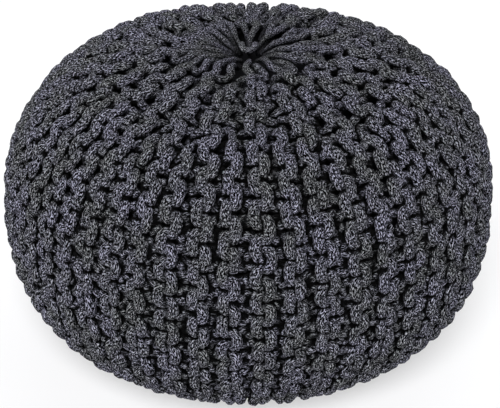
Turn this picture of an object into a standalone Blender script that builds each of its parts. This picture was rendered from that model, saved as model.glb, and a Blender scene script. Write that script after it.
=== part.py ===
"""Hand-knitted round pouf.

The cover is thick cotton cord in garter stitch, knitted sideways, so its ridges run from the top
over the side to the foot. Short rows leave only every fourth ridge to reach the top, where a
gathering yarn draws the edge stitches into a hollow. The filling gives the cover its crown.
"""

from math import cos, exp, hypot, pi, radians, sin

import bmesh
import bpy
from mathutils import Vector

# Driving dimensions, in metres
WIDEST_RADIUS = 0.275
WIDEST_HEIGHT = 0.159
CROWN_HEIGHT = 0.351
FOOT_RADIUS = 0.122
HOLLOW_DEPTH = 0.020
HOLLOW_REACH = 0.036
PIT_RADIUS = 0.0155
PIT_FLOOR_RADIUS = 0.0145
PIT_DEPTH = 0.0075
YARN_RADIUS = 0.0042
RIDGE_DEPTH = 0.0095
RIDGE_WAVE = 0.0012
CLEARANCE = 0.0003

# Powers of the two rounded quarters of the side view: 2 is an ellipse, more is squarer
CROWN_POWER = 2.55
BELLY_POWER = 2.37

# The ridges, and how far down the cover from the middle of the top the short rows turn
RIDGES = 52
FULL_EVERY = 4
MIDDLE_ROWS_START = 0.072
SHORT_ROWS_START = 0.160
START_JITTER = 0.014
JOIN_RUN = 0.055
RISE_RUN = 0.040
NEWEST_WIDTH = 0.25
WIDER_AT_RIGHT = 0.07
RIDGE_WANDER = 0.10
WANDER_RUN = 0.085

# Where the filling swells or sinks: degrees round from +X, run down the cover, reach, swell
LUMPS = (
    ("back left shoulder", 128, 0.235, 0.090, 0.0028),
    ("left shoulder", 168, 0.295, 0.070, -0.0022),
    ("top at the back", 92, 0.130, 0.060, -0.0018),
    ("right of the belly", -62, 0.520, 0.090, -0.0020),
    ("left of the belly", -118, 0.520, 0.090, 0.0015),
    ("front right shoulder", -35, 0.230, 0.080, 0.0012),
)

# Columns of points across one ridge: place across it, share of the ridge's depth below its crest
ACROSS_A_RIDGE = ((0.00, 1.00), (0.24, 0.22), (0.50, 0.00), (0.76, 0.22))

RINGS = 27
MERIDIAN_STEPS = 400
FOOT_FADE = 0.075
TOP_FADE = 0.060
TOP_RIDGE_SHARE = 0.35
FOOT_INNER_RINGS = ((0.080, 52), (0.040, 13))
GOLDEN_TURN = 2.399963


def smooth_step(share):
    share = min(max(share, 0.0), 1.0)
    return share * share * (3.0 - 2.0 * share)


def side_view_point(place):
    """The cover's radius and height at a place from 0, middle of the top, by 1, widest, to 2, foot."""
    if place <= 1.0:
        turn = place * pi / 2
        radius = WIDEST_RADIUS * sin(turn) ** (2 / CROWN_POWER)
        rise = max(cos(turn), 0.0) ** (2 / CROWN_POWER)
        height = WIDEST_HEIGHT + (CROWN_HEIGHT - WIDEST_HEIGHT) * rise
        return radius, height - HOLLOW_DEPTH * exp(-((radius / HOLLOW_REACH) ** 2))
    turn = (place - 1.0) * pi / 2
    spread = max(cos(turn), 0.0) ** (2 / BELLY_POWER)
    radius = FOOT_RADIUS + (WIDEST_RADIUS - FOOT_RADIUS) * spread
    return radius, WIDEST_HEIGHT * (1.0 - sin(turn) ** (2 / BELLY_POWER))


def side_view():
    """The meridian as rows of run along the cloth, radius and height."""
    rows = [(0.0, *side_view_point(0.0))]
    for step in range(1, MERIDIAN_STEPS + 1):
        radius, height = side_view_point(2.0 * step / MERIDIAN_STEPS)
        run = rows[-1][0] + hypot(radius - rows[-1][1], height - rows[-1][2])
        rows.append((run, radius, height))
    return rows


def at_run(rows, run):
    """Radius, height and outward direction in the side view, at a run along the cloth."""
    last = len(rows) - 1
    index = next((i for i in range(1, last) if rows[i][0] >= run), last)
    before, after = rows[index - 1], rows[index]
    share = (run - before[0]) / (after[0] - before[0])
    radius = before[1] + share * (after[1] - before[1])
    height = before[2] + share * (after[2] - before[2])
    low, high = rows[max(index - 3, 0)], rows[min(index + 2, last)]
    length = hypot(high[1] - low[1], high[2] - low[2])
    return radius, height, (low[2] - high[2]) / length, (high[1] - low[1]) / length


def ridge_start(ridge):
    """How far from the middle of the top a ridge begins: a full one begins at the middle itself."""
    if ridge % FULL_EVERY == 0:
        return 0.0
    jitter = START_JITTER * sin(GOLDEN_TURN * (ridge % RIDGES))
    middle_row = ridge % FULL_EVERY == FULL_EVERY // 2
    return jitter + (MIDDLE_ROWS_START if middle_row else SHORT_ROWS_START)


def grown_share(ridge, run, over):
    """How much of its full size a ridge has at a run, when it grows over a stretch of cover."""
    return smooth_step((run - ridge_start(ridge)) / over) if ridge % FULL_EVERY else 1.0


def full_ridge_azimuth(ridge):
    """Where a full ridge lies all the way down: the ridges are wider apart at the right."""
    even = 2 * pi * ridge / RIDGES
    return even + WIDER_AT_RIGHT * sin(even)


def ridge_edges(run):
    """The ridges that are there at a run, as rows of number and the azimuths of the two edges.

    Each full ridge keeps its azimuth, and the shorter ones share what lies between two of them,
    so a sector holds half of the full ridge at either side.
    """
    starts = []
    for full in range(0, RIDGES, FULL_EVERY):
        sector = [r for r in range(full, full + FULL_EVERY + 1) if run >= ridge_start(r)]
        widths = [NEWEST_WIDTH + (1 - NEWEST_WIDTH) * grown_share(r, run, JOIN_RUN) for r in sector]
        pitch = full_ridge_azimuth(full + FULL_EVERY) - full_ridge_azimuth(full)
        pitch /= sum(widths) - (widths[0] + widths[-1]) / 2
        edge = full_ridge_azimuth(full) + pitch / 2
        for ridge, width in zip(sector[1:], widths[1:]):
            wander = RIDGE_WANDER * pitch * sin(run / WANDER_RUN + GOLDEN_TURN * ridge)
            starts.append((ridge % RIDGES, edge + wander))
            edge += pitch * width
    starts.insert(0, (0, starts.pop()[1] - 2 * pi))
    ends = [start for _, start in starts[1:]] + [starts[0][1] + 2 * pi]
    return [(ridge, start, end) for (ridge, start), end in zip(starts, ends)]


def lump_middles(rows):
    """The lumps as rows of middle, reach and swell."""
    lumps = []
    for _, degrees, run, reach, swell in LUMPS:
        radius, height, _, _ = at_run(rows, run)
        turn = radians(degrees)
        lumps.append((Vector((radius * cos(turn), radius * sin(turn), height)), reach, swell))
    return lumps


def swell_at(place, lumps):
    """How far the filling pushes the cover out, or lets it sink, at a place on it."""
    return sum(
        swell * exp(-(((place - middle).length / reach) ** 2)) for middle, reach, swell in lumps
    )


def ridge_strength(run, foot_run):
    """The share of their full depth that the ridges have at a run: less in the gather and the foot."""
    at_top = TOP_RIDGE_SHARE + (1 - TOP_RIDGE_SHARE) * smooth_step(run / TOP_FADE)
    return at_top * smooth_step((foot_run - run) / FOOT_FADE)


def add_ring(mesh, rows, lumps, run):
    """One ring of the cover, as rows of ridge number and the ridge's points from its valley on."""
    radius, height, out, up = at_run(rows, run)
    strength = ridge_strength(run, rows[-1][0])
    ring = []
    for ridge, start, end in ridge_edges(run):
        wave = RIDGE_WAVE * sin(run / WANDER_RUN * 2 + GOLDEN_TURN * ridge * 2)
        risen = grown_share(ridge, run, RISE_RUN)
        points = []
        for share, below in ACROSS_A_RIDGE:
            azimuth = start + share * (end - start)
            place = Vector((radius * cos(azimuth), radius * sin(azimuth), height))
            crest = risen * (1.0 - below)
            lift = swell_at(place, lumps) * smooth_step(height / FOOT_FADE)
            lift -= strength * (RIDGE_DEPTH * (1.0 - crest) + max(wave, 0.0) * crest)
            place += lift * Vector((out * cos(azimuth), out * sin(azimuth), up))
            place.z = max(place.z, 0.0)
            points.append(mesh.verts.new(place))
        ring.append((ridge, points))
    return ring


def add_even_ring(mesh, radius, height, count, start):
    """One ring of evenly spaced points, from an azimuth on."""
    turns = [start + 2 * pi * step / count for step in range(count)]
    return [mesh.verts.new((radius * cos(turn), radius * sin(turn), height)) for turn in turns]


def fill_between(mesh, above, below):
    """Faces between two short rows of points, of which the shorter one ends in a fan."""
    last_above, last_below = len(above) - 1, len(below) - 1
    for step in range(max(last_above, last_below)):
        corners = [above[min(step, last_above)], below[min(step, last_below)]]
        corners += [below[min(step + 1, last_below)], above[min(step + 1, last_above)]]
        mesh.faces.new(list(dict.fromkeys(corners)))


def join_ridges(mesh, upper, lower):
    """The band between two rings, ridge by ridge: a new ridge opens from one point of a valley."""
    places = {ridge: place for place, (ridge, _) in enumerate(upper)}
    for index, (ridge, points) in enumerate(lower):
        below = points + lower[(index + 1) % len(lower)][1][:1]
        if ridge in places:
            after = upper[(places[ridge] + 1) % len(upper)][1]
            above = upper[places[ridge]][1] + after[:1]
            valley = after[:1]
            fill_between(mesh, above, below)
        else:
            fill_between(mesh, valley, below)


def join_even(mesh, outer, inner):
    """The band between two rings of which the outer has a whole number of times as many points."""
    times = len(outer) // len(inner)
    for index, point in enumerate(inner):
        side = [outer[(index * times + step) % len(outer)] for step in range(times + 1)]
        fill_between(mesh, side, [point, inner[(index + 1) % len(inner)]])


def plain_material(name, colour, roughness):
    material = bpy.data.materials.new(name)
    material.use_nodes = True
    shader = material.node_tree.nodes["Principled BSDF"]
    shader.inputs["Base Color"].default_value = (*colour, 1.0)
    shader.inputs["Roughness"].default_value = roughness
    shader.inputs["Metallic"].default_value = 0.0
    material.diffuse_color = (*colour, 1.0)
    return material


def knitted_cover(collection, material):
    """The cover with its filling: crown, gathered hollow, ridges over the side, and flat foot."""
    rows = side_view()
    foot_run = rows[-1][0]
    pit_run = next(run for run, radius, _ in rows if radius >= PIT_RADIUS)
    mesh = bmesh.new()
    lumps = lump_middles(rows)
    runs = [pit_run + (foot_run - pit_run) * step / RINGS for step in range(RINGS + 1)]
    rings = [add_ring(mesh, rows, lumps, run) for run in runs]
    for upper, lower in zip(rings, rings[1:]):
        join_ridges(mesh, upper, lower)

    pit_rim = [point for _, points in rings[0] for point in points]
    pit_floor = at_run(rows, pit_run)[1] - PIT_DEPTH
    first_edge = ridge_edges(pit_run)[0][1]
    floor_ring = add_even_ring(mesh, PIT_FLOOR_RADIUS, pit_floor, len(pit_rim), first_edge)
    join_even(mesh, pit_rim, floor_ring)
    mesh.faces.new(floor_ring)

    outer = [point for _, points in rings[-1] for point in points]
    first_edge = ridge_edges(foot_run)[0][1]
    for radius, count in FOOT_INNER_RINGS:
        inner = add_even_ring(mesh, radius, 0.0, count, first_edge)
        join_even(mesh, outer, inner)
        outer = inner
    mesh.faces.new(outer)
    bmesh.ops.recalc_face_normals(mesh, faces=mesh.faces)

    low = [min(point.co[axis] for point in mesh.verts) for axis in (0, 1)]
    high = [max(point.co[axis] for point in mesh.verts) for axis in (0, 1)]
    to_middle = Vector((-(low[0] + high[0]) / 2, -(low[1] + high[1]) / 2, 0.0))
    bmesh.ops.translate(mesh, verts=mesh.verts, vec=to_middle)

    data = bpy.data.meshes.new("knitted_cover")
    mesh.to_mesh(data)
    mesh.free()
    data.shade_smooth()
    data.materials.append(material)
    cover = bpy.data.objects.new("knitted_cover", data)
    collection.objects.link(cover)
    return pit_floor, to_middle


def gathering_loop(collection, material, pit_floor, to_middle):
    """The gathering yarn's loop, drawn tight round the hole at the bottom of the hollow."""
    bpy.ops.mesh.primitive_torus_add(
        major_radius=PIT_RADIUS - 2 * YARN_RADIUS,
        minor_radius=YARN_RADIUS,
        major_segments=28,
        minor_segments=10,
        location=(to_middle.x, to_middle.y, pit_floor + CLEARANCE + YARN_RADIUS),
    )
    loop = bpy.context.object
    loop.name = "gathering_loop"
    loop.data.name = "gathering_loop"
    loop.data.shade_smooth()
    loop.data.materials.append(material)
    for owner in list(loop.users_collection):
        owner.objects.unlink(loop)
    collection.objects.link(loop)


def main():
    for thing in list(bpy.data.objects):
        bpy.data.objects.remove(thing, do_unlink=True)
    collection = bpy.data.collections.new("knitted_pouf")
    bpy.context.scene.collection.children.link(collection)
    cord = plain_material("anthracite_cotton_cord", (0.052, 0.053, 0.062), 0.92)
    yarn = plain_material("anthracite_gathering_yarn", (0.047, 0.048, 0.056), 0.92)
    pit_floor, to_middle = knitted_cover(collection, cord)
    gathering_loop(collection, yarn, pit_floor, to_middle)


main()
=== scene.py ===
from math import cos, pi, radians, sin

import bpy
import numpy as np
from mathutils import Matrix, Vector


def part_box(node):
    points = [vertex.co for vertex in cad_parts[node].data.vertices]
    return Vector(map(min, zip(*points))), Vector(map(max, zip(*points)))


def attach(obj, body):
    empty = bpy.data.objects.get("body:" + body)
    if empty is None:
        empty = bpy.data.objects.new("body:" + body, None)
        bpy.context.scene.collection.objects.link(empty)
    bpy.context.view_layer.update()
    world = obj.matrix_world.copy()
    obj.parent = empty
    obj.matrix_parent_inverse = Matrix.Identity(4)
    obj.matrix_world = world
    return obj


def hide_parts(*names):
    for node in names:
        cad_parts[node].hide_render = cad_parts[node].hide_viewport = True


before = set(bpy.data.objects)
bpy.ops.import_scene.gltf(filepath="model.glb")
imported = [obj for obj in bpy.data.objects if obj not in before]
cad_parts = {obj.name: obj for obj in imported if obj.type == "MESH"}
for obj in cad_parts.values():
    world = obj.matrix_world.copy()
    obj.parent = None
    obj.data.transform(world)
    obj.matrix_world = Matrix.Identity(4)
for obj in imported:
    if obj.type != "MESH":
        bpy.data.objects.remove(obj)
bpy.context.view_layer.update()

# %% [markdown]
# # A pouf knitted from thick cord, stitch by stitch
# The real pouf is a round cover of heathered cotton cord, knitted by hand in garter stitch and
# filled until it stands by itself. A picture of knitting on a smooth ball would look flat at the
# outline and in the gaps. Here the cord itself is laid, loop by loop, along the way that the
# knitter's needles took it, and every dark gap between stitches is a real gap, with shade also
# painted into the cord there.

gather_middle = np.mean([list(corner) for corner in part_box("gathering_loop")], axis=0)

# %% [markdown]
# ## The filled form
# The filling pushes the cover into a crown, a round belly and a flat foot. One line from the middle
# of the top to the middle of the foot, turned round the upright axis, gives that form. The line is
# measured along the cloth, because a knitter counts stitches along the cloth and not in height.

# %% The side view, from the middle of the top over the widest place to the middle of the foot
WIDEST_RADIUS = 0.275
WIDEST_HEIGHT = 0.159
CROWN_HEIGHT = 0.351
FOOT_RADIUS = 0.122
CROWN_POWER = 2.55
BELLY_POWER = 2.37
HOLLOW_DEPTH = 0.012
HOLLOW_REACH = 0.040
CURVE_STEPS = 200
FOOT_STEPS = 61
RUN_STEP = 0.001
KINK_REACH = 4


def side_view():
    """Radius and height of the cover, in steps from the middle of the top to that of the foot."""
    turn = np.linspace(0.0, pi / 2, CURVE_STEPS + 1)
    rise = np.cos(turn).clip(0.0, 1.0)
    crown_radius = WIDEST_RADIUS * np.sin(turn) ** (2 / CROWN_POWER)
    crown_height = WIDEST_HEIGHT + (CROWN_HEIGHT - WIDEST_HEIGHT) * rise ** (2 / CROWN_POWER)
    crown_height -= HOLLOW_DEPTH * np.exp(-((crown_radius / HOLLOW_REACH) ** 2))
    belly_radius = FOOT_RADIUS + (WIDEST_RADIUS - FOOT_RADIUS) * rise ** (2 / BELLY_POWER)
    belly_height = WIDEST_HEIGHT * (1.0 - np.sin(turn) ** (2 / BELLY_POWER))
    foot_radius = np.linspace(FOOT_RADIUS, 0.0, FOOT_STEPS + 1)
    radius = np.concatenate([crown_radius, belly_radius[1:], foot_radius[1:]])
    height = np.concatenate([crown_height, belly_height[1:], 0.0 * foot_radius[1:]])
    return radius, height


def soften(values, reach):
    """A running mean, so that a direction or a width has no kinks."""
    padded = np.pad(values, reach, mode="edge")
    return np.convolve(padded, np.ones(2 * reach + 1) / (2 * reach + 1), "valid")


radius, height = side_view()
run = np.concatenate([[0.0], np.cumsum(np.hypot(np.diff(radius), np.diff(height)))])
CLOTH_RUN = run[-1]
RUN = np.arange(0.0, CLOTH_RUN, RUN_STEP)
RADIUS = np.interp(RUN, run, radius)
HEIGHT = np.interp(RUN, run, height)
outward = soften(-np.gradient(HEIGHT, RUN), KINK_REACH)
upward = soften(np.gradient(RADIUS, RUN), KINK_REACH)
OUTWARD = outward / np.hypot(outward, upward)
UPWARD = upward / np.hypot(outward, upward)
print(f"cloth from the top's middle to the foot's middle: {CLOTH_RUN * 1000:.0f} mm")

# %% Places where the filling has settled unevenly: degrees round from +X, run, reach and swell
LUMPS = (
    ("back left shoulder", 128, 0.235, 0.090, 0.0028),
    ("left shoulder", 168, 0.295, 0.070, -0.0022),
    ("top at the back", 92, 0.130, 0.060, -0.0018),
    ("right of the belly", -62, 0.520, 0.090, -0.0020),
    ("left of the belly", -118, 0.520, 0.090, 0.0015),
    ("front right shoulder", -35, 0.230, 0.080, 0.0012),
)
FOOT_FADE = 0.075


def smooth_step(share):
    """0 before 0, 1 after 1, and a soft S between."""
    share = np.clip(share, 0.0, 1.0)
    return share * share * (3.0 - 2.0 * share)


def swell_at(places):
    """How far the filling pushes the cover out at each place, or lets it sink."""
    swell = np.zeros(places.shape[:-1])
    for _, degrees, lump_run, reach, most in LUMPS:
        lump_radius = np.interp(lump_run, RUN, RADIUS)
        turn = radians(degrees)
        middle = (lump_radius * cos(turn), lump_radius * sin(turn), np.interp(lump_run, RUN, HEIGHT))
        away = np.linalg.norm(places - np.array(middle), axis=-1)
        swell += most * np.exp(-((away / reach) ** 2))
    return swell


def on_cover(run, azimuth, depth):
    """Points at a depth under the cover's outside, and the outward direction at each."""
    radius = np.interp(run, RUN, RADIUS)
    outward = np.interp(run, RUN, OUTWARD)
    height = np.interp(run, RUN, HEIGHT)
    around = (np.cos(azimuth), np.sin(azimuth))
    places = np.stack([radius * around[0], radius * around[1], height], axis=-1)
    normals = np.stack([outward * around[0], outward * around[1], np.interp(run, RUN, UPWARD)], -1)
    lift = swell_at(places) * smooth_step(height / FOOT_FADE) - depth
    return places + lift[..., None] * normals, normals


swells = [lump[-1] * 1000 for lump in LUMPS]
print(f"{len(LUMPS)} uneven places, from {min(swells):.1f} to {max(swells):.1f} mm")

# %% [markdown]
# ## Ridges
# Garter stitch is knitted to and fro, and two rows make one ridge. This cover is knitted sideways:
# each ridge runs from the top, over the side, to the foot. A flat strip would bunch up in the
# middle, so the knitter turns back early in three rows of every four. Only each fourth ridge
# reaches the gather, and the others squeeze in between further out, which is why the ridges on the
# top fan out like wedges.

# %% How many ridges there are, and where the short ones turn
RIDGES = 52
FULL_EVERY = 4
MIDDLE_ROWS_START = 0.072
SHORT_ROWS_START = 0.160
START_JITTER = 0.014
GOLDEN_TURN = 2.399963


def is_full(ridge):
    """Whether a ridge is one of those that reach the gather."""
    return ridge % FULL_EVERY == 0


def ridge_ends(ridge):
    """The runs from the top's middle at which a ridge begins and ends."""
    if is_full(ridge):
        return 0.0, CLOTH_RUN
    turned = MIDDLE_ROWS_START if ridge % FULL_EVERY == FULL_EVERY // 2 else SHORT_ROWS_START
    above = turned + START_JITTER * sin(GOLDEN_TURN * ridge)
    below = turned + START_JITTER * sin(2 * GOLDEN_TURN * ridge + 1)
    return above, CLOTH_RUN - below


print(RIDGES // FULL_EVERY, "ridges reach the gather, and", RIDGES, "go round the belly")

# %% Each ridge's middle and width all along its run, as azimuths
JOIN_RUN = 0.055
NEWEST_WIDTH = 0.25
WIDER_AT_RIGHT = 0.07
RIDGE_WANDER = 0.10
WANDER_RUN = 0.085
GRID_STEP = 0.002
EDGE_REACH = 7
GRID = np.arange(0.0, CLOTH_RUN + GRID_STEP, GRID_STEP)


def full_ridge_azimuth(ridge):
    """A full ridge keeps its azimuth. The ridges are a little wider apart at the right."""
    even = 2 * pi * ridge / RIDGES
    return even + WIDER_AT_RIGHT * sin(even)


def sector_starts(full):
    """The near edge of each of the four ridges after a full one, at every run of the grid."""
    widths = []
    for ridge in range(full, full + FULL_EVERY + 1):
        begin, end = ridge_ends(ridge)
        grown = smooth_step(np.minimum(GRID - begin, end - GRID) / JOIN_RUN)
        width = NEWEST_WIDTH + (1.0 - NEWEST_WIDTH) * grown
        width = np.where((GRID < begin) | (GRID > end), 0.0, width)
        widths.append(np.ones_like(GRID) if is_full(ridge) else width)
    span = full_ridge_azimuth(full + FULL_EVERY) - full_ridge_azimuth(full)
    pitch = span / (sum(widths) - (widths[0] + widths[-1]) / 2)
    edge = full_ridge_azimuth(full) + pitch / 2
    starts = []
    for ridge, width in zip(range(full + 1, full + FULL_EVERY + 1), widths[1:]):
        wander = RIDGE_WANDER * pitch * np.sin(GRID / WANDER_RUN + GOLDEN_TURN * ridge)
        starts.append((edge + wander, width > 0.0))
        edge = edge + pitch * width
    return starts


def only_where(present, values):
    """Values where a ridge is, carried on level past its ends, and softened."""
    return soften(np.interp(GRID, GRID[present], values[present]), EDGE_REACH)


starts = [start for full in range(0, RIDGES, FULL_EVERY) for start in sector_starts(full)]
starts.insert(0, (starts[-1][0] - 2 * pi, starts[-1][1]))
MIDDLE = {}
WIDTH = {}
following = starts[-1][0]
for ridge in reversed(range(RIDGES)):
    start, present = starts[ridge]
    MIDDLE[ridge] = only_where(present, (start + following) / 2)
    WIDTH[ridge] = only_where(present, following - start)
    following = np.where(present, start, following)
SHOULDER_RUN = 0.26
widest = np.interp(SHOULDER_RUN, GRID, WIDTH[0]) * np.interp(SHOULDER_RUN, RUN, RADIUS)
print(f"{RIDGES} ridges, about {widest * 1000:.0f} mm apart on the shoulder")

# %% [markdown]
# ## One stitch
# In garter stitch seen from the front, each ridge is a chain of cord bumps that lean left and right
# by turns. The cord swings across the ridge once a stitch, dives under the row beside it and comes
# up again. One modelled stitch could be copied along each ridge, but copies would show as a pattern
# and couldn't stretch. Cosines give the swing and the dive instead, counted in stitches. Stitches are
# longer on the shoulder, where the filling stretches them, than on the belly.

# %% The pitch of the stitches along a ridge
BELLY_PITCH = 0.0286
SHOULDER_STRETCH = 0.0078
STRETCHED_RUN = 0.15
SLACKENING_RUN = 0.24


def stretched(run):
    """1 where the filling stretches the stitches most, on the shoulder, and 0 on the belly."""
    return 1.0 - smooth_step((run - STRETCHED_RUN) / SLACKENING_RUN)


def stitch_pitch(run):
    """Length of one stitch along the ridge."""
    return BELLY_PITCH + SHOULDER_STRETCH * stretched(run)


STITCHES = np.cumsum(RUN_STEP / stitch_pitch(RUN[:-1] + RUN_STEP / 2))
STITCHES = np.concatenate([[0.0], STITCHES])
print(f"{STITCHES[-1]:.1f} stitches from the top's middle to the foot's middle")

# %% [markdown]
# ## Work by hand
# No two stitches that are knitted by hand are alike. Each point of the cord could be moved a little
# at random, but that would only make the cord look frayed. A few values for each stitch, joined by a
# soft line, move whole loops instead. The values come from a generator with a fixed seed, so that the
# knitting is the same each time.

# %% The unevenness of a row, and how far it gets ahead of its neighbours
UNEVEN_ACROSS = 0.0010
UNEVEN_ALONG = 0.0011
UNEVEN_DEPTH = 0.0007
UNEVEN_THICKNESS = 0.03
DRIFT = 0.03
DRIFT_WAVES = ((5, 0.061, 0.0), (7, -0.083, 2.0), (11, 0.110, 4.0))
unevenness = np.random.default_rng(7)


def uneven(count, amount, draws=2.0):
    """A soft random line, with so many new values drawn for each stitch."""
    place = draws * (count - count[0])
    values = unevenness.normal(0.0, amount, int(place[-1]) + 3).clip(-2 * amount, 2 * amount)
    whole = place.astype(int)
    share = smooth_step(place - whole)
    return values[whole] * (1.0 - share) + values[whole + 1] * share


def phase_drift(ridge, run):
    """How far the stitches of a row are ahead, in stitches: neighbours stay nearly in step."""
    around = 2 * pi * ridge / RIDGES
    waves = [np.sin(times * around + run / reach + start) for times, reach, start in DRIFT_WAVES]
    return DRIFT * sum(waves)


furthest = max(abs(phase_drift(ridge, RUN)).max() for ridge in range(RIDGES))
print(f"a row gets up to {furthest:.2f} of a stitch ahead of the even count")

# %% How far a row lies from its ridge's middle
ROW_PLACE = 0.25
TURN_PLACE = 0.95
YARN_RADIUS = 0.0060
SPREAD_RUN = 0.046


def row_place(full, ridge_width, from_end, opened):
    """The strands of a full ridge leave the gather together and then part."""
    if full:
        return ROW_PLACE * ridge_width * smooth_step(from_end / SPREAD_RUN)
    return ROW_PLACE * ridge_width * opened + TURN_PLACE * YARN_RADIUS * (1.0 - opened)


print(f"cord {2000 * YARN_RADIUS:.0f} mm thick, and strands part over {1000 * SPREAD_RUN:.0f} mm")

# %% How deep the cord lies through a stitch
CLOTH_FRONT = 0.0053
LOOP_BULGE = 0.0077
LOOP_BACK = 0.0110
LOOP_DIVE = 2.0
LOOP_SINK = 1.5
KNOB_RISE = 0.0056
KNOB_PLACE = -0.45
KNOB_WIDTH = 0.30
KNOB_SLACKEN = 0.55


def loop_depth(forward, run):
    """A loop bulges at its front, dives at its back, and its leg makes a knob in the valley."""
    bulge = forward.clip(0.0, 1.0) ** LOOP_DIVE
    sink = (-forward).clip(0.0, 1.0) ** LOOP_SINK
    knob = np.exp(-(((forward - KNOB_PLACE) / KNOB_WIDTH) ** 2))
    knob *= 1.0 - KNOB_SLACKEN * stretched(run)
    return LOOP_BACK * sink - LOOP_BULGE * bulge - KNOB_RISE * knob


print(f"a loop goes {1000 * (LOOP_BACK + LOOP_BULGE):.0f} mm from its front to its back")

# %% [markdown]
# ## The ends of the rows
# A short row ends where the knitter turned, a little under its neighbours. A full row runs on into
# the gather, where the yarn draws twenty-six strands together round a small hole. They could all end
# there at their full thickness, but then they would melt into one lump. On the real pouf the pull
# makes them straight and thin, and they lie in pairs, one over the other, until there is room to part.

# %% How the ends of a row are tucked in
GATHER_DIVE = 0.0025
GATHER_DIVE_RUN = 0.014
STACK_RISE = 1.6
SHORT_ROW_RISE = 0.035
SHORT_ROW_UNDER = 0.008


def tucked_in(full, side, depth, from_end, opened):
    """A short row comes up from under its neighbours, and a full one from inside the gather."""
    if not full:
        return depth + SHORT_ROW_UNDER * (1.0 - smooth_step(from_end / SHORT_ROW_RISE))
    lower = STACK_RISE * (1.0 - smooth_step(from_end / SPREAD_RUN)) if side > 0 else 0.0
    depth = depth * opened + YARN_RADIUS * (1.0 + lower) * (1.0 - opened)
    return depth + GATHER_DIVE * (1.0 - smooth_step(from_end / GATHER_DIVE_RUN))


print(f"short rows start {1000 * SHORT_ROW_UNDER:.0f} mm down, full ones {1000 * GATHER_DIVE:.1f} mm")

# %% How thick the cord is, squeezed between its neighbours and drawn out towards the gather
PULLED_THIN = 0.48
SQUEEZED_WIDTH = 3.0
SQUEEZED_LEAST = 0.62
LEG_THINNING = 0.14


def cord_radius(count, ridge_width, wave, opened, pulled):
    """The cord's radius all along a row."""
    thickness = np.clip(ridge_width / (SQUEEZED_WIDTH * YARN_RADIUS), SQUEEZED_LEAST, 1.0)
    thickness = YARN_RADIUS * thickness
    thickness *= 1.0 - PULLED_THIN * pulled
    thickness *= 1.0 + uneven(count, UNEVEN_THICKNESS)
    thickness *= 1.0 - LEG_THINNING * (1.0 - wave**2) * opened
    return thickness


print(f"at the gather the cord is {2000 * YARN_RADIUS * SQUEEZED_LEAST * (1 - PULLED_THIN):.1f} mm thick")

# %% [markdown]
# ## One row
# A row is one strand from the gather at the top to the gather under the foot. It could be drawn by
# hand as a curve, but a hundred and four drawn rows would never stay in step. So a row is counted out:
# for each small part of a stitch, the helpers say how far across, how far along and how deep the cord
# lies there.

# %% The way of the cord through one row of a ridge
GATHER_RUN = 0.0190
STRAIGHT_FULL_RUN = 0.036
STRAIGHT_SHORT_RUN = 0.004
OPEN_RUN = 0.045
PULLED_RUN = 0.145
PULLED_SHADE = 0.0045
LOOP_REACH = 0.45
LOOP_LEAN = 0.22
ACROSS_DRAWS = 3.0
LEAST_TURN_RADIUS = 0.012
RINGS_PER_STITCH = 21


def knitted_row(ridge, side):
    """Points, outward directions, cord radius and painted-shade depth of a row, from the top to the foot.

    Side -1 is the row that is knitted towards the gather, and 1 the one back from it.
    """
    full = is_full(ridge)
    begin, end = (GATHER_RUN, CLOTH_RUN - GATHER_RUN) if full else ridge_ends(ridge)
    straight = STRAIGHT_FULL_RUN if full else STRAIGHT_SHORT_RUN
    first, last = np.interp([begin, end], RUN, STITCHES)
    count = np.linspace(first, last, int(round((last - first) * RINGS_PER_STITCH)))
    run = np.interp(count, STITCHES, RUN)
    from_end = np.minimum(run - begin, end - run)
    opened = smooth_step((run - begin - straight) / OPEN_RUN)
    opened *= smooth_step((end - run - straight) / OPEN_RUN)
    pulled = 1.0 - smooth_step(np.minimum(run, CLOTH_RUN - run) / PULLED_RUN)
    ridge_width = np.interp(run, GRID, WIDTH[ridge]) * np.interp(run, RUN, RADIUS)

    swing = 2 * pi * (count + phase_drift(ridge + ROW_PLACE * side, run))
    wave = np.cos(swing)
    across = side * row_place(full, ridge_width, from_end, opened)
    across += LOOP_REACH * ridge_width * opened * wave
    across += uneven(count, UNEVEN_ACROSS, ACROSS_DRAWS) * opened
    along = run + LOOP_LEAN * stitch_pitch(run) * np.sin(2 * swing) * opened
    along += uneven(count, UNEVEN_ALONG) * opened
    depth = CLOTH_FRONT + LOOP_BULGE + loop_depth(-side * wave, run) * opened
    depth = tucked_in(full, side, depth, from_end, opened)
    depth += uneven(count, UNEVEN_DEPTH) * opened
    thickness = cord_radius(count, ridge_width, wave, opened, pulled)

    radius = np.maximum(np.interp(along, RUN, RADIUS), LEAST_TURN_RADIUS)
    azimuth = np.interp(run, GRID, MIDDLE[ridge]) + across / radius
    points, normals = on_cover(along, azimuth, depth)
    # Near the gather the depth that sets the painted shade is made deeper, so the thin strands' sides are
    # painted darker.
    return points, normals, thickness, depth + PULLED_SHADE * pulled


print("rings of points in a stitch:", RINGS_PER_STITCH)

# %% [markdown]
# ## One repeat of the knitting
# Four ridges make one repeat: a full one and three short ones. The cord goes up one row, turns, and
# comes down the next, without a cut. Eight separate strands would do from afar, but their ends would
# stand out where the short rows turn. So each repeat is one cord of about fourteen metres, with small
# U-turns where the knitter turned the work. Thirteen repeats make the cover.

# %% Join the rows of a repeat with U-turns
U_TURN_STEP = 0.003
U_TURN_REACH = 0.009


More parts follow.
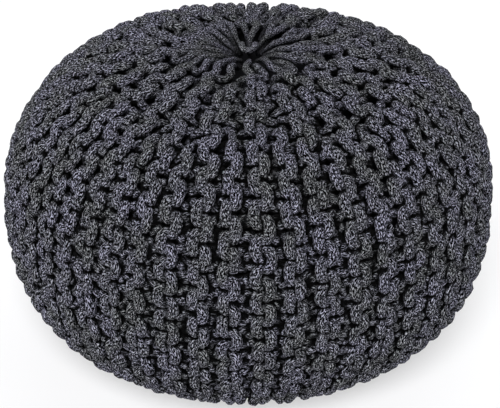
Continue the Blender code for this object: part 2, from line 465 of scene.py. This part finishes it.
def u_turn(above, below):
    """Points, directions, radii and depths on a half circle between the ends of two rows."""
    first, last = above[0][-1], below[0][0]
    leaving = above[0][-1] - above[0][-3]
    coming = below[0][0] - below[0][2]
    bulge = leaving / np.linalg.norm(leaving) + coming / np.linalg.norm(coming)
    bulge /= max(np.linalg.norm(bulge), 1e-6)
    gap = np.linalg.norm(last - first)
    steps = max(4, int(gap / U_TURN_STEP))
    turn = np.linspace(0.0, pi, steps + 2)[1:-1, None]
    points = (first + last) / 2 - (last - first) / 2 * np.cos(turn)
    points = points + bulge * min(gap / 2, U_TURN_REACH) * np.sin(turn)
    normals = np.repeat((above[1][-1:] + below[1][:1]) / 2, steps, axis=0)
    radii = np.full(steps, (above[2][-1] + below[2][0]) / 2)
    depths = np.full(steps, (above[3][-1] + below[3][0]) / 2)
    return points, normals, radii, depths


def repeat_path(first_ridge):
    """One cord through the eight rows of a repeat."""
    parts = []
    for ridge in range(first_ridge, first_ridge + FULL_EVERY):
        for side in (-1, 1):
            row = knitted_row(ridge, side)
            if side < 0:
                row = tuple(values[::-1] for values in row)
            if parts:
                parts.append(u_turn(parts[-1], row))
            parts.append(row)
    return [np.concatenate(values) for values in zip(*parts)]


paths = [repeat_path(first_ridge) for first_ridge in range(0, RIDGES, FULL_EVERY)]
print(len(paths), "repeats, the first with", len(paths[0][0]), "points")

# %% [markdown]
# ## Where the cord hides itself
# In a knitted cover each strand touches its neighbours, and in the grooves between them hardly any
# light arrives, so shade is painted into the cord's colour there. To know where that is, the room
# round the pouf is divided into small cells, the cord in each is weighed, and the result is blurred.
# A point of the skin with much cord just in front of it lies in a groove.

# %% Weigh the cord in small cells
CELL = 0.0025
MARGIN_CELLS = 8
BLUR_PASSES = 3
everywhere = np.concatenate([path[0] for path in paths])
room_low = everywhere.min(axis=0) - MARGIN_CELLS * CELL
room_high = everywhere.max(axis=0) + MARGIN_CELLS * CELL
room_cells = np.ceil((room_high - room_low) / CELL).astype(int)
room = np.zeros(room_cells, dtype=np.float32)
for points, _, radii, _ in paths:
    volume = np.linalg.norm(np.gradient(points, axis=0), axis=1) * pi * radii**2
    cells = ((points - room_low) / CELL).astype(int)
    np.add.at(room, tuple(cells.T), (volume / CELL**3).astype(np.float32))
for axis in (0, 1, 2):
    for _ in range(BLUR_PASSES):
        room = (np.roll(room, 1, axis) + room + np.roll(room, -1, axis)) / 3
print(f"{room.size / 1e6:.1f} million cells, the fullest {room.max():.2f} full")


def cord_in_front(places):
    """How full of cord the room is at places, from the eight cells round each."""
    spot = (places - room_low) / CELL - 0.5
    spot = np.clip(spot, 0, room_cells - 2)
    corner = spot.astype(int)
    share = spot - corner
    total = np.zeros(len(places))
    for offset in np.ndindex(2, 2, 2):
        weight = np.prod(np.where(offset, share, 1.0 - share), axis=1)
        total += weight * room[tuple((corner + offset).T)]
    return total


# %% [markdown]
# ## The cord's skin
# The cord is nearly round, and lumpy as spun cotton is. A curve with a round bevel would give one
# smooth hose. Here rings of points are laid round the path instead, each point a little in or out.
# Each point also keeps how deep it lies and how much cord is in front of it, for the painted shade in the
# finish.

# %% Rings of points round a path
YARN_SIDES = 10
YARN_FLATNESS = 0.97
SKIN_LUMPS = 0.04
FLOOR_GAP = 0.0002
RING_TURN = np.linspace(0.0, 2 * pi, YARN_SIDES, endpoint=False)


def cord_skin(points, normals, radii):
    """Rings of points with a soft oval section, and the way that each point faces."""
    along = np.gradient(points, axis=0)
    along /= np.linalg.norm(along, axis=1, keepdims=True)
    across = np.cross(along, normals)
    across /= np.linalg.norm(across, axis=1, keepdims=True)
    outward = np.cross(across, along)
    turn = RING_TURN[None, :, None]
    facing = np.cos(turn) * across[:, None] + np.sin(turn) * outward[:, None]
    ring = facing + (YARN_FLATNESS - 1.0) * np.sin(turn) * outward[:, None]
    lumps = 1.0 + unevenness.normal(0.0, SKIN_LUMPS, ring.shape[:2])[..., None]
    places = points[:, None] + radii[:, None, None] * ring * lumps
    places[..., 2] = np.maximum(places[..., 2], FLOOR_GAP)
    return places, facing


print("points in a ring:", YARN_SIDES)

# %% Faces between the rings, and the flecks' places on them
def skin_faces(rings):
    """Four-sided faces between each ring and the next, and one face over each end."""
    step = np.arange(rings - 1)[:, None] * YARN_SIDES
    side = np.arange(YARN_SIDES)[None, :]
    after = (side + 1) % YARN_SIDES
    faces = [step + side, step + after, step + YARN_SIDES + after, step + YARN_SIDES + side]
    faces = np.stack(faces, axis=-1).reshape(-1, 4).tolist()
    last = (rings - 1) * YARN_SIDES
    return faces + [list(range(YARN_SIDES))[::-1], list(range(last, last + YARN_SIDES))]


def laid_flat(points):
    """The corners of the faces in metres along the cord and round it, ends at zero."""
    length = np.concatenate([[0.0], np.cumsum(np.linalg.norm(np.diff(points, axis=0), axis=1))])
    girth = 2 * pi * YARN_RADIUS / YARN_SIDES
    side = np.arange(YARN_SIDES)[:, None]
    corners = np.zeros((len(points) - 1, YARN_SIDES, 4, 2))
    corners[..., 0] = np.stack([length[:-1], length[:-1], length[1:], length[1:]], -1)[:, None]
    corners[..., 1] = girth * (side + np.array([0, 1, 1, 0]))[None]
    return np.concatenate([corners.reshape(-1), np.zeros(4 * YARN_SIDES)])


print(len(skin_faces(2)), "faces on a cord of two rings")

# %% The mesh of one cord
LOOK_AHEAD = 0.0045


def keep_at_points(data, name, values):
    """Keep a number at each point of a mesh, under a name that the finish can ask for."""
    kept = data.attributes.new(name, "FLOAT", "POINT")
    kept.data.foreach_set("value", values.astype(np.float32))


def cord_mesh(name, path, material):
    """A cord along a path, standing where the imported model's gather stands."""
    points, normals, radii, depths = path
    places, facing = cord_skin(points, normals, radii)
    data = bpy.data.meshes.new(name)
    data.from_pydata(places.reshape(-1, 3).tolist(), [], skin_faces(len(points)))
    # Painted shade: how deep each point of the skin lies, which the finish turns into darker colour.
    under = depths[:, None] - radii[:, None] * np.sin(RING_TURN)[None, :]
    keep_at_points(data, "depth_for_painted_shade", under.reshape(-1))
    # Painted shade: how much cord lies just in front of each point, which the finish turns into darker
    # colour.
    keep_at_points(data, "groove_for_painted_shade", cord_in_front((places + LOOK_AHEAD * facing).reshape(-1, 3)))
    flecks = data.uv_layers.new(name="cord")
    flecks.data.foreach_set("uv", laid_flat(points).astype(np.float32))
    data.shade_smooth()
    data.materials.append(material)
    piece = bpy.data.objects.new(name, data)
    bpy.context.scene.collection.objects.link(piece)
    piece.location = (gather_middle[0], gather_middle[1], 0.0)
    return piece


print(f"a point looks {1000 * LOOK_AHEAD:.1f} mm ahead for other cord")

# %% [markdown]
# ## The cord's finish
# The cord is spun from near-black and pale grey cotton, so close up it is speckled, and from a step
# away it is a dark slate grey. Fine noise through a steep ramp gives the flecks, and a broad noise
# lets some stretches of cord come out paler than others. The same flecks lift the surface a little,
# as the fibres do. Shade is painted into the colour as well: the deeper a strand lies, and the more
# cord lies just in front of it, the darker it is painted.

# %% Helpers for the nodes of a finish
# A mixing node has number and colour sockets of the same name, so these are picked by their place.
COLOUR_A, COLOUR_B, COLOUR_RESULT = 6, 7, 2


def add_node(tree, kind, **settings):
    """A node with its sockets or properties set by name."""
    node = tree.nodes.new(kind)
    for name, value in settings.items():
        if name in node.inputs:
            node.inputs[name].default_value = value
        else:
            setattr(node, name, value)
    return node


def colour_ramp(tree, factor, stops, brightness=1.0):
    """Colours from stop to stop, each stop a position and a colour."""
    ramp = add_node(tree, "ShaderNodeValToRGB")
    elements = ramp.color_ramp.elements
    while len(elements) < len(stops):
        elements.new(0.5)
    for element, (position, colour) in zip(elements, stops):
        element.position = position
        element.color = (*[brightness * part for part in colour], 1.0)
    tree.links.new(factor, ramp.inputs["Fac"])
    return ramp.outputs["Color"]


def painted_shade(tree, attribute, begin, end, least):
    """Painted shade: 1 up to where an attribute begins to darken the cord, and the least light from the
    end on.
    """
    kept = add_node(tree, "ShaderNodeAttribute", attribute_name=attribute)
    shade = add_node(tree, "ShaderNodeMapRange", interpolation_type="SMOOTHSTEP")
    shade.inputs["From Min"].default_value = begin
    shade.inputs["From Max"].default_value = end
    shade.inputs["To Min"].default_value = 1.0
    shade.inputs["To Max"].default_value = least
    tree.links.new(kept.outputs["Fac"], shade.inputs["Value"])
    return shade.outputs["Result"]


def multiplied(tree, first, second):
    """One colour multiplied by another, or by a number."""
    mix = add_node(tree, "ShaderNodeMix", data_type="RGBA", blend_type="MULTIPLY")
    mix.inputs["Factor"].default_value = 1.0
    tree.links.new(first, mix.inputs[COLOUR_A])
    tree.links.new(second, mix.inputs[COLOUR_B])
    return mix.outputs[COLOUR_RESULT]


# %% A heathered cotton cord, all from noise
FLECK_ALONG = 440.0
FLECK_ACROSS = 740.0
FLECK_TWIST = 38.0
FLECKS = (
    (0.44, (0.0010, 0.0010, 0.0013)),
    (0.500, (0.007, 0.007, 0.009)),
    (0.535, (0.075, 0.076, 0.086)),
    (0.585, (0.660, 0.670, 0.740)),
)
PATCH_SCALE = 30.0
PATCHES = ((0.35, (0.80, 0.81, 0.78)), (0.65, (1.02, 1.00, 1.16)))
# Painted shade, by depth and by cord in front: where it begins, where it is full, and the least light
# left.
SHADE = (0.0050, 0.0160, 0.20)
PAINTED_GROOVE_SHADE = (0.14, 0.54, 0.01)
FIBRE_LIFT = 0.0020
CORD_BRIGHTNESS = 0.70
GATHER_BRIGHTNESS = 0.90


def heathered_cord(name, brightness):
    """Pale and dark flecks twisted round the cord, with shade painted where the cord lies deep or in a
    groove.
    """
    material = bpy.data.materials.new(name)
    material.use_nodes = True
    tree = material.node_tree
    shader = tree.nodes["Principled BSDF"]
    cord = add_node(tree, "ShaderNodeUVMap", uv_map="cord").outputs["UV"]
    twist = add_node(tree, "ShaderNodeMapping")
    twist.inputs["Rotation"].default_value = (0.0, 0.0, radians(FLECK_TWIST))
    twist.inputs["Scale"].default_value = (FLECK_ALONG, FLECK_ACROSS, 1.0)
    tree.links.new(cord, twist.inputs["Vector"])
    flecks = add_node(tree, "ShaderNodeTexNoise", Scale=1.0, Detail=3.0, Roughness=0.7)
    tree.links.new(twist.outputs["Vector"], flecks.inputs["Vector"])
    flecked = colour_ramp(tree, flecks.outputs["Fac"], FLECKS, brightness)

    place = add_node(tree, "ShaderNodeTexCoord").outputs["Object"]
    patches = add_node(tree, "ShaderNodeTexNoise", Scale=PATCH_SCALE, Detail=1.0)
    tree.links.new(place, patches.inputs["Vector"])
    patchy = multiplied(tree, flecked, colour_ramp(tree, patches.outputs["Fac"], PATCHES))

    # Painted shade: the colour is darkened where the cord lies deep and where much cord lies in front of
    # it.
    light = add_node(tree, "ShaderNodeMath", operation="MULTIPLY")
    tree.links.new(painted_shade(tree, "depth_for_painted_shade", *SHADE), light.inputs[0])
    tree.links.new(painted_shade(tree, "groove_for_painted_shade", *PAINTED_GROOVE_SHADE), light.inputs[1])
    colour = multiplied(tree, patchy, light.outputs["Value"])
    tree.links.new(colour, shader.inputs["Base Color"])

    fibres = add_node(tree, "ShaderNodeBump", Strength=1.0, Distance=FIBRE_LIFT)
    tree.links.new(flecks.outputs["Fac"], fibres.inputs["Height"])
    tree.links.new(fibres.outputs["Normal"], shader.inputs["Normal"])
    shader.inputs["Roughness"].default_value = 0.95
    shader.inputs["Specular IOR Level"].default_value = 0.02
    shader.inputs["Sheen Weight"].default_value = 0.01
    shader.inputs["Sheen Roughness"].default_value = 0.6
    return material


cord_finish = heathered_cord("anthracite_cotton_cord", CORD_BRIGHTNESS)
gather_finish = heathered_cord("anthracite_gathering_yarn", GATHER_BRIGHTNESS)
print("a fleck is about", round(1000 / FLECK_ALONG, 1), "by", round(1000 / FLECK_ACROSS, 1), "mm")

# %% [markdown]
# ## Knitting the cover
# Now each repeat's path gets its skin and its finish. One mesh for the whole cover would look the
# same, but thirteen pieces can be picked and looked at one by one, as the knitter looks over the work.

# %% Knit the thirteen repeats
knitting = []
for number, path in enumerate(paths, start=1):
    knitting.append(cord_mesh(f"knit_repeat_{number:02d}", path, cord_finish))

length = np.linalg.norm(np.diff(paths[0][0], axis=0), axis=1).sum()
print(f"a repeat takes {length:.1f} m of cord and {2 * len(knitting[0].data.polygons)} triangles")

for piece in knitting:
    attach(piece, "root")
    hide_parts("knitted_cover")

# %% [markdown]
# ## The filling
# Between the stitches one looks down on the dark bag that holds the filling. A smooth ball could
# stand there, but where a gap is wide the eye sees that it is stiff. So the bag starts a little small
# and slack, and a cloth simulation with air pressure inside blows it up against the knitting, as the
# filling does. How far the cloth moves is capped, so that it can't push through the stitches.

# %% A slack bag inside the knitting
BAG_DEPTH = 0.034
BAG_RINGS = 60
BAG_SIDES = 96
BAG_END_RUN = 0.004


def slack_bag(rings, sides):
    """A closed bag at an even depth under the cover."""
    runs = np.linspace(BAG_END_RUN, CLOTH_RUN - BAG_END_RUN, rings)
    turns = np.linspace(0.0, 2 * pi, sides, endpoint=False)
    run, azimuth = np.meshgrid(runs, turns, indexing="ij")
    places, _ = on_cover(run, azimuth, np.full(run.shape, BAG_DEPTH))
    ring = np.arange(rings - 1)[:, None] * sides
    side = np.arange(sides)[None, :]
    after = (side + 1) % sides
    faces = np.stack([ring + side, ring + sides + side, ring + sides + after, ring + after], -1)
    ends = [list(range(sides)), list(range((rings - 1) * sides, rings * sides))[::-1]]
    data = bpy.data.meshes.new("filling")
    data.from_pydata(places.reshape(-1, 3).tolist(), [], faces.reshape(-1, 4).tolist() + ends)
    piece = bpy.data.objects.new("filling", data)
    bpy.context.scene.collection.objects.link(piece)
    piece.location = (gather_middle[0], gather_middle[1], 0.0)
    return piece


filling = slack_bag(BAG_RINGS, BAG_SIDES)
print("slack bag", len(filling.data.polygons), "faces")

# %% The bag's dull black cloth
WEAVE_SCALE = 700.0
WEAVE = ((0.0, (0.002, 0.002, 0.003)), (1.0, (0.012, 0.012, 0.014)))


def bag_finish():
    """Black cloth with a fine uneven weave."""
    material = bpy.data.materials.new("black_bag_cloth")
    material.use_nodes = True
    tree = material.node_tree
    shader = tree.nodes["Principled BSDF"]
    place = add_node(tree, "ShaderNodeTexCoord").outputs["Object"]
    weave = add_node(tree, "ShaderNodeTexNoise", Scale=WEAVE_SCALE, Detail=2.0)
    tree.links.new(place, weave.inputs["Vector"])
    cloth = colour_ramp(tree, weave.outputs["Fac"], WEAVE)
    tree.links.new(cloth, shader.inputs["Base Color"])
    bump = add_node(tree, "ShaderNodeBump", Strength=0.4, Distance=0.0004)
    tree.links.new(weave.outputs["Fac"], bump.inputs["Height"])
    tree.links.new(bump.outputs["Normal"], shader.inputs["Normal"])
    shader.inputs["Roughness"].default_value = 0.95
    shader.inputs["Specular IOR Level"].default_value = 0.1
    return material


black_cloth = bag_finish()
print("bag cloth has", len(black_cloth.node_tree.nodes), "nodes")

# %% Blow the bag up with a cloth simulation
BAG_CELL = 0.009
BAG_PRESSURE = 4.0
BAG_MOST_SWELL = 0.005
BAG_LOWEST = 0.001
SIMULATED_FRAMES = 20


def apply_modifier(piece, modifier):
    """Turn a modifier's result into the piece's own mesh."""
    bpy.context.view_layer.objects.active = piece
    with bpy.context.temp_override(object=piece, active_object=piece):
        bpy.ops.object.modifier_apply(modifier=modifier.name)


def evened_out(piece, cell):
    """The same form in even small faces, which a cloth needs."""
    remesh = piece.modifiers.new("even_faces", "REMESH")
    remesh.mode = "VOXEL"
    remesh.voxel_size = cell
    apply_modifier(piece, remesh)


def corner_places(piece):
    """Where each point of a piece is."""
    places = np.empty(3 * len(piece.data.vertices))
    piece.data.vertices.foreach_get("co", places)
    return places.reshape(-1, 3)


def blown_up(piece):
    """Let the air in, and hand back how far each point moved."""
    before = corner_places(piece)
    cloth = piece.modifiers.new("cloth", "CLOTH")
    cloth.settings.quality = 5
    cloth.settings.mass = 0.3
    cloth.settings.use_pressure = True
    cloth.settings.uniform_pressure_force = BAG_PRESSURE
    cloth.settings.effector_weights.gravity = 0.0
    cloth.collision_settings.use_collision = False
    cloth.point_cache.frame_start = 1
    cloth.point_cache.frame_end = SIMULATED_FRAMES
    for frame_number in range(1, SIMULATED_FRAMES + 1):
        bpy.context.scene.frame_set(frame_number)
    apply_modifier(piece, cloth)
    moved = corner_places(piece) - before
    far = np.linalg.norm(moved, axis=1, keepdims=True)
    capped = before + moved * np.minimum(1.0, BAG_MOST_SWELL / np.maximum(far, 1e-9))
    capped[:, 2] = np.maximum(capped[:, 2], BAG_LOWEST)
    piece.data.vertices.foreach_set("co", capped.ravel())
    piece.data.update()
    bpy.context.scene.frame_set(1)
    return far[:, 0]


evened_out(filling, BAG_CELL)
far = blown_up(filling)
print(f"the bag's points moved {far.mean() * 1000:.1f} mm, at most {far.max() * 1000:.1f} mm")

# %% Smooth the bag, give it its cloth and hand it over
smoother = filling.modifiers.new("smoother", "SUBSURF")
smoother.levels = 1
apply_modifier(filling, smoother)
filling.data.materials.clear()
filling.data.materials.append(black_cloth)
filling.data.shade_smooth()
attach(filling, "root")
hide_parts("knitted_cover")
print("filling", len(filling.data.polygons), "faces")

# %% [markdown]
# ## The gathering yarn
# A second strand is threaded through the edge stitches of the top and pulled tight. One curl of it
# shows in the hole. A closed ring would look like a washer, so the path is an arc that is open at the
# back, and both its ends dive under the strands there. It has the skin and the finish of the cord.

# %% A curl of yarn in the hole
CURL_RADIUS = 0.0072
CURL_YARN = 0.0034
CURL_BACK = 0.0015
CURL_ARM = 0.0100
CURL_LIFT = 0.0030
CURL_DIVE = 0.0040
CURL_TURN = 0.56
CURL_RINGS = 60
CURL_SHADE = 0.0060


def gathering_yarn():
    """An open curl: round at the front, with both ends under the strands behind the hole."""
    part = np.linspace(-1.0, 1.0, CURL_RINGS)
    turn = -pi / 2 + CURL_TURN * pi * part
    across = CURL_RADIUS * np.cos(turn)
    back = CURL_RADIUS * np.sin(turn) + CURL_BACK + CURL_ARM * np.abs(part) ** 3
    height = HEIGHT[0] + CURL_LIFT * part**2 - CURL_DIVE * part**6
    points = np.stack([across, back, height], -1)
    normals = np.tile([0.0, 0.0, 1.0], (CURL_RINGS, 1))
    return points, normals, np.full(CURL_RINGS, CURL_YARN), np.full(CURL_RINGS, CURL_SHADE)


gather = cord_mesh("gathering_yarn", gathering_yarn(), gather_finish)
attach(gather, "root")
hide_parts("gathering_loop")
print(f"curl of yarn at {HEIGHT[0]:.4f}, packed loop at {gather_middle[2]:.4f}")

# %% [markdown]
# ## Floor, light and camera
# The pouf stands on a plain white studio floor. One small bright lamp would turn each gap into a
# hard black hole. A broad light from the front and above, a weaker one from behind and an even sky
# keep the dark cord readable from every side.

# %% The floor
FLOOR_HALF = 6.0
FLOOR_GLOW = 0.55


def plain_floor():
    """A white floor that glows a little, so that it stays white round the shadow."""
    material = bpy.data.materials.new("white_studio_floor")
    material.use_nodes = True
    shader = material.node_tree.nodes["Principled BSDF"]
    shader.inputs["Base Color"].default_value = (0.42, 0.42, 0.43, 1.0)
    shader.inputs["Emission Color"].default_value = (1.0, 1.0, 1.0, 1.0)
    shader.inputs["Emission Strength"].default_value = FLOOR_GLOW
    shader.inputs["Roughness"].default_value = 0.9
    data = bpy.data.meshes.new("studio_floor")
    corners = [(x * FLOOR_HALF, y * FLOOR_HALF, 0.0) for x, y in ((-1, -1), (1, -1), (1, 1), (-1, 1))]
    data.from_pydata(corners, [], [(0, 1, 2, 3)])
    data.materials.append(material)
    floor = bpy.data.objects.new("studio_floor", data)
    bpy.context.scene.collection.objects.link(floor)
    return floor


floor = plain_floor()
print("floor", tuple(floor.dimensions.xy))

# %% The lights: azimuth, elevation, strength and spread of each sun
KEY_SUN = (-6, 46, 3.7, 30)
BACK_SUN = (165, 50, 0.6, 60)
SKY_STRENGTH = 0.16


def soft_sun(azimuth, elevation, strength, spread):
    """A sun as broad as a studio soft box, from an azimuth (0 is the camera's side)."""
    light = bpy.data.lights.new("soft_sun", "SUN")
    light.energy = strength
    light.angle = radians(spread)
    sun = bpy.data.objects.new("soft_sun", light)
    bpy.context.scene.collection.objects.link(sun)
    around = radians(azimuth)
    level = cos(radians(elevation))
    towards = Vector((sin(around) * level, -cos(around) * level, sin(radians(elevation))))
    sun.rotation_euler = towards.to_track_quat("Z", "Y").to_euler()


soft_sun(*KEY_SUN)
soft_sun(*BACK_SUN)
world = bpy.data.worlds.new("pale_studio")
bpy.context.scene.world = world
world.use_nodes = True
sky = world.node_tree.nodes["Background"]
sky.inputs["Color"].default_value = (0.95, 0.97, 1.0, 1.0)
sky.inputs["Strength"].default_value = SKY_STRENGTH
bpy.context.scene.view_settings.view_transform = "Standard"
print("suns of strength", KEY_SUN[2], "and", BACK_SUN[2], "and a sky of", SKY_STRENGTH)

# %% The camera, at the photograph's angle
CAMERA_ELEVATION = 28.5
CAMERA_DISTANCE = 1.7
CAMERA_TARGET = Vector((0.0, 0.0, 0.17))
SENSOR_WIDTH = 36.0
LENS_LENGTH = 107.57
LENS_SHIFT = (0.0024, -0.0376)
lens = bpy.data.cameras.new("camera")
camera = bpy.data.objects.new("camera", lens)
bpy.context.scene.collection.objects.link(camera)
looking = Vector((0.0, cos(radians(CAMERA_ELEVATION)), -sin(radians(CAMERA_ELEVATION))))
camera.location = CAMERA_TARGET - looking * CAMERA_DISTANCE
camera.rotation_euler = looking.to_track_quat("-Z", "Y").to_euler()
lens.sensor_width = SENSOR_WIDTH
lens.lens = LENS_LENGTH
lens.shift_x, lens.shift_y = LENS_SHIFT
bpy.context.scene.camera = camera
print("camera at", camera.location[:])

# %% [markdown]
# ## The two models side by side
# The imported model gives the pouf its weight and what it bumps into, and this one gives the look.

# %% Bring the scene up to date
bpy.context.view_layer.update()
